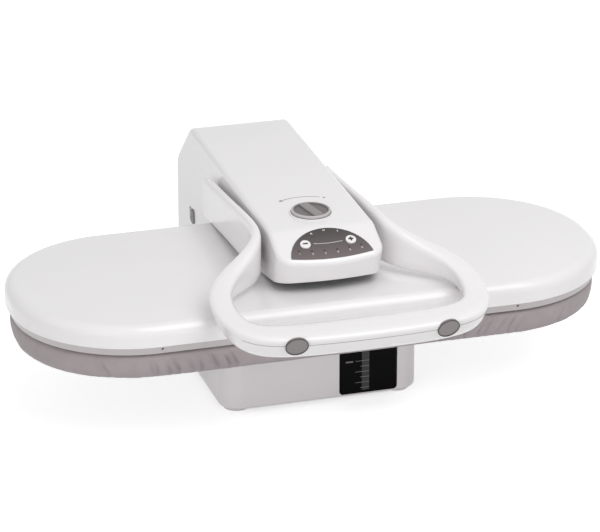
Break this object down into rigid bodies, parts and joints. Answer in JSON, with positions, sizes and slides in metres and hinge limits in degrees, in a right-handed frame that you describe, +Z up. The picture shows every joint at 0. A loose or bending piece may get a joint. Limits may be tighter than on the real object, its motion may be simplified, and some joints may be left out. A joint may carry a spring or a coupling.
{
  "type": "steam ironing press",
  "caption": "Table-top steam ironing press: a heated plate on a hinged head closes on a padded board, with a handle hoop, twist cap, push buttons and slide-out water tank",
  "frame": {"origin": "on the table under the middle of the closed press's box", "axes": "+X to the user's right along the plate, +Y to the back where the hinge is, +Z up"},
  "size_m": [0.632, 0.5439, 0.2057],
  "materials": {
    "white_abs": "moulded white ABS, glossy",
    "white_base": "moulded off-white ABS, satin",
    "white_rim": "moulded off-white plastic, satin",
    "grey_plastic": "moulded mid grey plastic",
    "ring_plastic": "moulded dark grey plastic",
    "panel_film": "printed dark grey film on plastic",
    "button_white": "moulded white plastic",
    "lens": "dark red-brown indicator lens",
    "smoked_plastic": "smoked, nearly black clear plastic",
    "black_plastic": "moulded black plastic",
    "circuit": "green circuit board",
    "cast_aluminium": "cast, polished ironing face",
    "steel_sheet": "zinc-plated sheet",
    "steel_rod": "bright steel",
    "bearing_bronze": "sintered bronze",
    "pale_rubber": "moulded pale grey rubber",
    "black_rubber": "moulded rubber",
    "board_cloth": "woven pinkish grey cotton",
    "board_foam": "open-cell foam",
    "insulation": "needled glass mat"
  },
  "bodies": {
    "base": {"base_tub": "white_base", "base_deck": "white_base", "tail_cover": "white_base", "rubber_feet": "pale_rubber", "base_screws": "steel_rod", "water_pump": "black_plastic", "terminal_block": "black_plastic", "tank_valve_seat": "black_plastic", "tower_bracket": "steel_sheet", "hinge_pin": "steel_rod", "hinge_clips": "steel_rod", "tower_cover": "white_base", "cord_gland": "black_rubber", "board_support": "steel_sheet", "board_tray": "steel_sheet", "board_foam": "board_foam", "board_cover": "board_cloth"},
    "head": {"plate_cover": "white_abs", "rim_trim": "white_rim", "sole_plate": "cast_aluminium", "steam_chamber": "cast_aluminium", "heating_element": "steel_rod", "insulation_mat": "insulation", "thermostat": "black_plastic", "head_channel": "steel_sheet", "hinge_bushes": "bearing_bronze", "channel_spacers": "steel_rod", "head_screws": "steel_rod", "head_housing": "white_abs", "handle_pivot_pins": "steel_rod", "control_panel": "panel_film", "indicator_lenses": "lens", "circuit_board": "circuit", "knob_bezel": "ring_plastic", "filter_socket": "black_plastic"},
    "handle": {"handle_upper_shell": "white_abs", "handle_lower_shell": "white_abs", "handle_bushes": "bearing_bronze", "handle_screw_caps": "grey_plastic", "handle_screws": "steel_rod"},
    "knob": {"descaler_knob": "grey_plastic", "knob_seal": "black_rubber"},
    "minus": {"minus_button": "button_white"},
    "plus": {"plus_button": "button_white"},
    "lock": {"lock_slider": "grey_plastic"},
    "tank": {"water_tank": "smoked_plastic", "tank_lid": "smoked_plastic", "tank_plug": "black_plastic", "tank_seal": "black_rubber"}
  },
  "joints": [
    {"name": "head_hinge", "type": "hinge", "parent": "base", "child": "head", "pos_m": [0, 0.23, 0.09], "axis": [-1, 0, 0], "range_deg": [0, 50]},
    {"name": "handle_hinge", "type": "hinge", "parent": "head", "child": "handle", "pos_m": [0, 0.092, 0.156], "axis": [-1, 0, 0], "range_deg": [0, 12]},
    {"name": "knob_turn", "type": "hinge", "parent": "head", "child": "knob", "pos_m": [0, -0.06, 0.19817], "axis": [0, -0.0287, 0.9996], "range_deg": [0, 90]},
    {"name": "minus_press", "type": "slide", "parent": "head", "child": "minus", "axis": [0, 0.4226, -0.9063], "range_m": [0, 0.001], "stiffness_N_per_m": 300},
    {"name": "plus_press", "type": "slide", "parent": "head", "child": "plus", "axis": [0, 0.4226, -0.9063], "range_m": [0, 0.001], "stiffness_N_per_m": 300},
    {"name": "tank_slide", "type": "slide", "parent": "base", "child": "tank", "axis": [0, -1, 0], "range_m": [0, 0.14]},
    {"name": "lock_slide", "type": "slide", "parent": "head", "child": "lock", "axis": [0, 1, 0], "range_m": [0, 0.008]}
  ]
}
